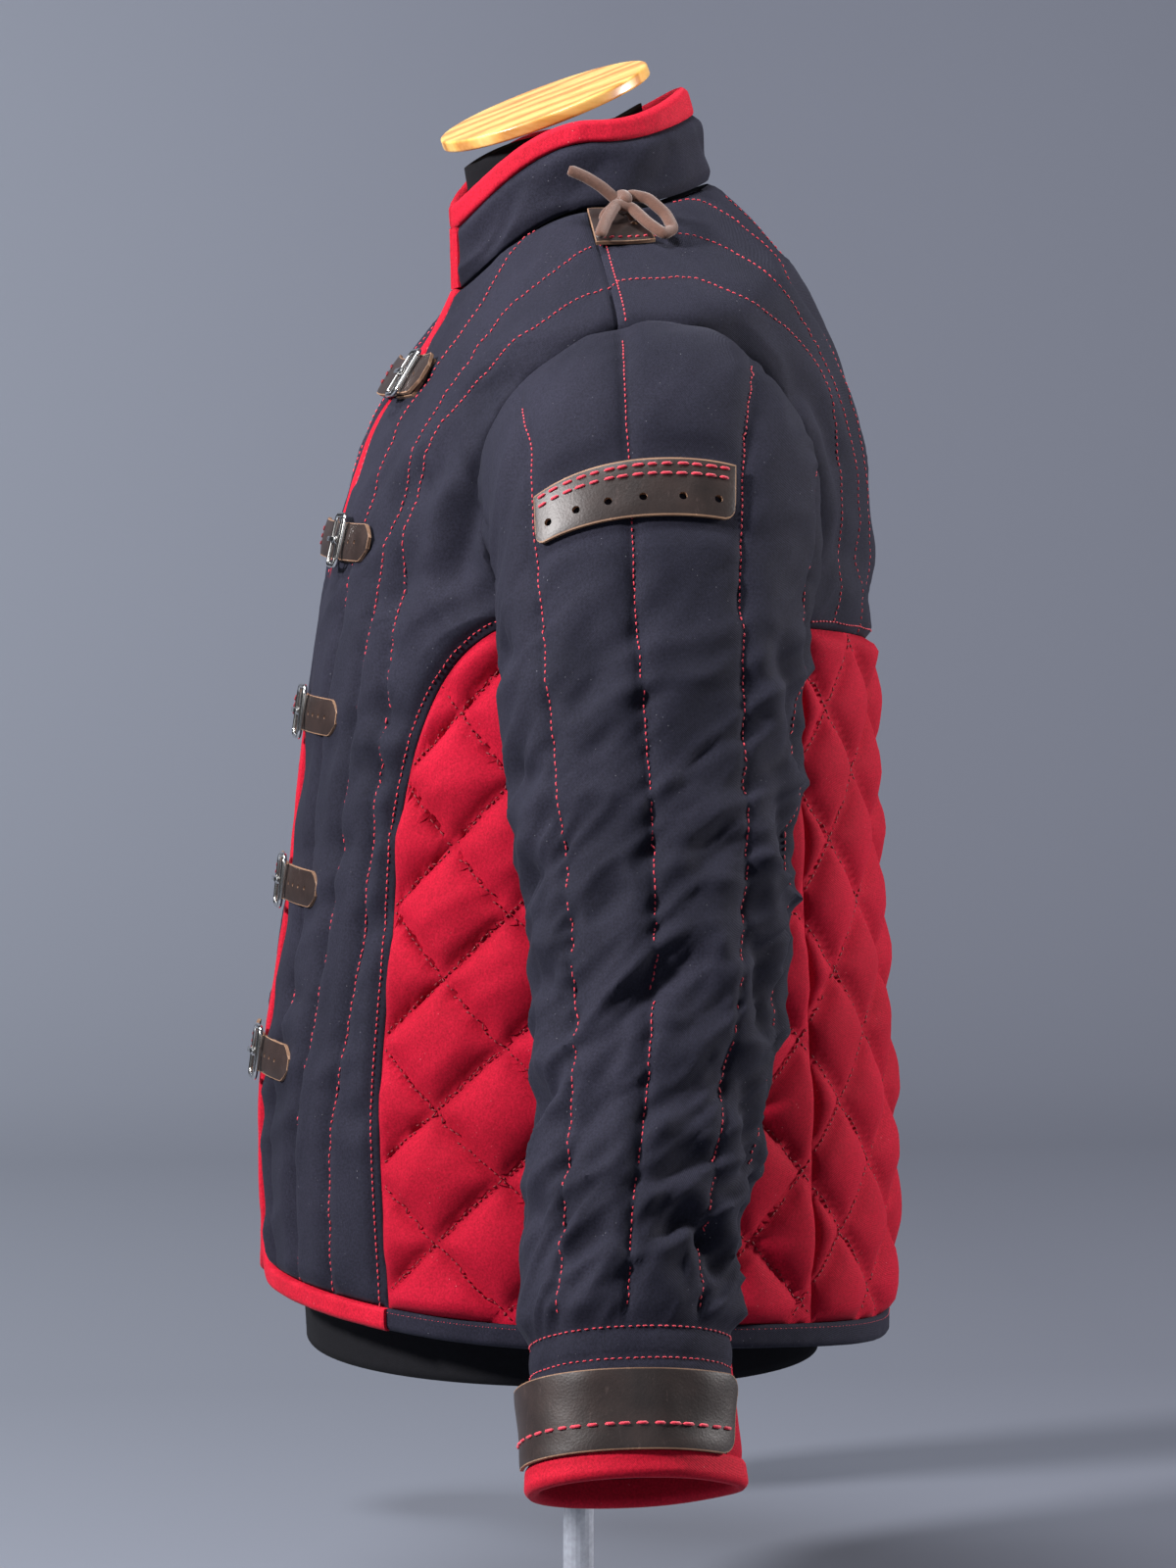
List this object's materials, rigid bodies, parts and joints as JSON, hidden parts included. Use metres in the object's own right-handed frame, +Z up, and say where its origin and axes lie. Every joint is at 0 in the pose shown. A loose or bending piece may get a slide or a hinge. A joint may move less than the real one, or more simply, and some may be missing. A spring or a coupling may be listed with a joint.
{
  "type": "gambeson on a dress form",
  "caption": "Quilted dark and red jacket gambeson with leather straps, worn by a limbless dress form with a wooden neck cap on a short stand.",
  "frame": {"origin": "centre of the underside of the dress form's round base, on the floor", "axes": "+Z up; -Y the garment's front; +X the wearer's left"},
  "size_m": [0.9736, 0.3715, 0.9371],
  "materials": {
    "dark_cloth": "blue-black cotton twill",
    "red_cloth": "crimson cotton twill",
    "leather": "oiled brown",
    "suede": "suede",
    "nickel": "polished nickel",
    "form_cloth": "black jersey",
    "varnished_wood": "varnished pine",
    "stand_metal": "pale blue-grey"
  },
  "bodies": {
    "root": {"front_left": "dark_cloth", "front_right": "dark_cloth", "side_left": "red_cloth", "side_right": "red_cloth", "front_binding_left": "red_cloth", "front_binding_right": "red_cloth", "collar_edge_left": "red_cloth", "collar_edge_right": "red_cloth", "sleeve_upper_left": "dark_cloth", "sleeve_upper_right": "dark_cloth", "sleeve_under_left": "dark_cloth", "sleeve_under_right": "dark_cloth", "sleeve_gusset_left": "red_cloth", "sleeve_gusset_right": "red_cloth", "cuff_binding_left": "red_cloth", "cuff_binding_right": "red_cloth", "cuff_flap_left": "leather", "cuff_flap_right": "leather", "arm_strip_left": "leather", "arm_strip_right": "leather", "shoulder_tab_left": "leather", "shoulder_tab_right": "leather", "lace_left": "suede", "lace_right": "suede", "upper_back": "dark_cloth", "lower_back": "red_cloth", "collar": "dark_cloth", "collar_binding": "red_cloth", "hem_binding": "dark_cloth", "strap_1": "leather", "strap_2": "leather", "strap_3": "leather", "strap_4": "leather", "strap_5": "leather", "chape_1": "leather", "chape_2": "leather", "chape_3": "leather", "chape_4": "leather", "chape_5": "leather", "buckle_1": "nickel", "buckle_2": "nickel", "buckle_3": "nickel", "buckle_4": "nickel", "buckle_5": "nickel", "form_torso": "form_cloth", "form_cap": "varnished_wood", "form_pole": "stand_metal", "form_base": "stand_metal"}
  },
  "joints": []
}
